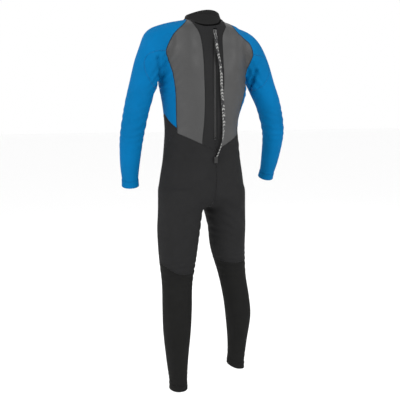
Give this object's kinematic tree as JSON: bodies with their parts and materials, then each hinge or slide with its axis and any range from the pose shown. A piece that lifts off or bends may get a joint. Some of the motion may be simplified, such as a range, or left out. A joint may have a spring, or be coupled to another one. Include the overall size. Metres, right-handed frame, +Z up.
{
  "type": "full wetsuit",
  "caption": "Full-length back-zip neoprene wetsuit with high collar, overlapping collar flap, long pull cord, blue sleeves, grey upper panels and black legs.",
  "frame": {"origin": "centre of the neck opening, at half the collar's height", "axes": "+Z up towards the collar's rim, -Y the wearer's front, +X the wearer's left"},
  "size_m": [0.6656, 0.243, 1.412],
  "materials": {
    "black_stretch_neoprene": "matt nylon-lined neoprene",
    "black_leg_neoprene": "matt nylon-lined neoprene, darker below the knee",
    "blue_stretch_neoprene": "matt nylon-lined neoprene",
    "grey_smooth_skin": "soft sheen smooth-skin neoprene",
    "black_collar_neoprene": "thin soft neoprene",
    "hook_and_loop": "hook-and-loop tape",
    "zip_tape_cloth": "woven polyester tape",
    "zip_plastic": "moulded plastic",
    "zip_metal": "black painted metal",
    "patterned_webbing": "black and white woven tape",
    "rubber_tab": "moulded rubber"
  },
  "bodies": {
    "torso": {"back_panel_left": "grey_smooth_skin", "back_panel_right": "grey_smooth_skin", "chest_panel": "grey_smooth_skin", "collar_band": "black_collar_neoprene", "collar_loop_patch": "hook_and_loop", "crotch_gusset": "black_stretch_neoprene", "elbow_zone_left": "blue_stretch_neoprene", "elbow_zone_right": "blue_stretch_neoprene", "front_lower_panel": "black_stretch_neoprene", "knee_back_left": "black_leg_neoprene", "knee_back_right": "black_leg_neoprene", "knee_pad_left": "black_leg_neoprene", "knee_pad_right": "black_leg_neoprene", "seat_panel": "black_stretch_neoprene", "shoulder_panel_left": "blue_stretch_neoprene", "shoulder_panel_right": "blue_stretch_neoprene", "side_panel_left": "blue_stretch_neoprene", "side_panel_right": "blue_stretch_neoprene", "thigh_left": "black_stretch_neoprene", "thigh_right": "black_stretch_neoprene", "upper_sleeve_left": "blue_stretch_neoprene", "upper_sleeve_right": "blue_stretch_neoprene", "zip_backing_flap": "black_collar_neoprene", "zip_bottom_stop": "zip_plastic", "zip_placket_left": "black_stretch_neoprene", "zip_placket_right": "black_stretch_neoprene", "zip_tape_left": "zip_tape_cloth", "zip_tape_right": "zip_tape_cloth", "zip_teeth_left": "zip_plastic", "zip_teeth_right": "zip_plastic", "zip_top_stops": "zip_plastic"},
    "zip_slider": {"zip_slider": "zip_metal"},
    "zip_puller": {"zip_puller": "zip_metal", "cord_loop": "patterned_webbing", "pull_cord": "patterned_webbing", "cord_end_tab": "rubber_tab"},
    "collar_flap": {"collar_overlap_flap": "black_collar_neoprene", "flap_hook_patch": "hook_and_loop"},
    "forearm_left": {"forearm_sleeve_left": "blue_stretch_neoprene", "cuff_hem_left": "blue_stretch_neoprene"},
    "lower_leg_left": {"calf_left": "black_leg_neoprene", "ankle_hem_left": "black_leg_neoprene"},
    "forearm_right": {"forearm_sleeve_right": "blue_stretch_neoprene", "cuff_hem_right": "blue_stretch_neoprene"},
    "lower_leg_right": {"calf_right": "black_leg_neoprene", "ankle_hem_right": "black_leg_neoprene"}
  },
  "joints": [
    {"name": "zip_slide", "type": "slide", "parent": "torso", "child": "zip_slider", "axis": [0, 0.0186, -0.9998], "range_m": [0, 0.345], "deforming": ["pull_cord", "cord_end_tab"]},
    {"name": "puller_swing", "type": "hinge", "parent": "zip_slider", "child": "zip_puller", "pos_m": [0, 0.10536, -0.06198], "axis": [1, 0, 0], "range_deg": [0, 80]},
    {"name": "collar_flap_open", "type": "hinge", "parent": "torso", "child": "collar_flap", "pos_m": [0.0692, -0.0002, -0.02], "axis": [0.2334, 0, -0.9724], "range_deg": [0, 90]},
    {"name": "elbow_left", "type": "hinge", "parent": "torso", "child": "forearm_left", "pos_m": [0.256, -0.012, -0.337], "axis": [-1, 0, 0], "range_deg": [0, 80], "deforming": ["elbow_zone_left"]},
    {"name": "knee_left", "type": "hinge", "parent": "torso", "child": "lower_leg_left", "pos_m": [0.1, 0.004, -0.909], "axis": [1, 0, 0], "range_deg": [0, 80], "deforming": ["knee_pad_left", "knee_back_left"]},
    {"name": "elbow_right", "type": "hinge", "parent": "torso", "child": "forearm_right", "pos_m": [-0.2855, -0.006, -0.333], "axis": [-1, 0, 0], "range_deg": [0, 80], "deforming": ["elbow_zone_right"]},
    {"name": "knee_right", "type": "hinge", "parent": "torso", "child": "lower_leg_right", "pos_m": [-0.132, -0.014, -0.904], "axis": [1, 0, 0], "range_deg": [0, 80], "deforming": ["knee_pad_right", "knee_back_right"]}
  ]
}
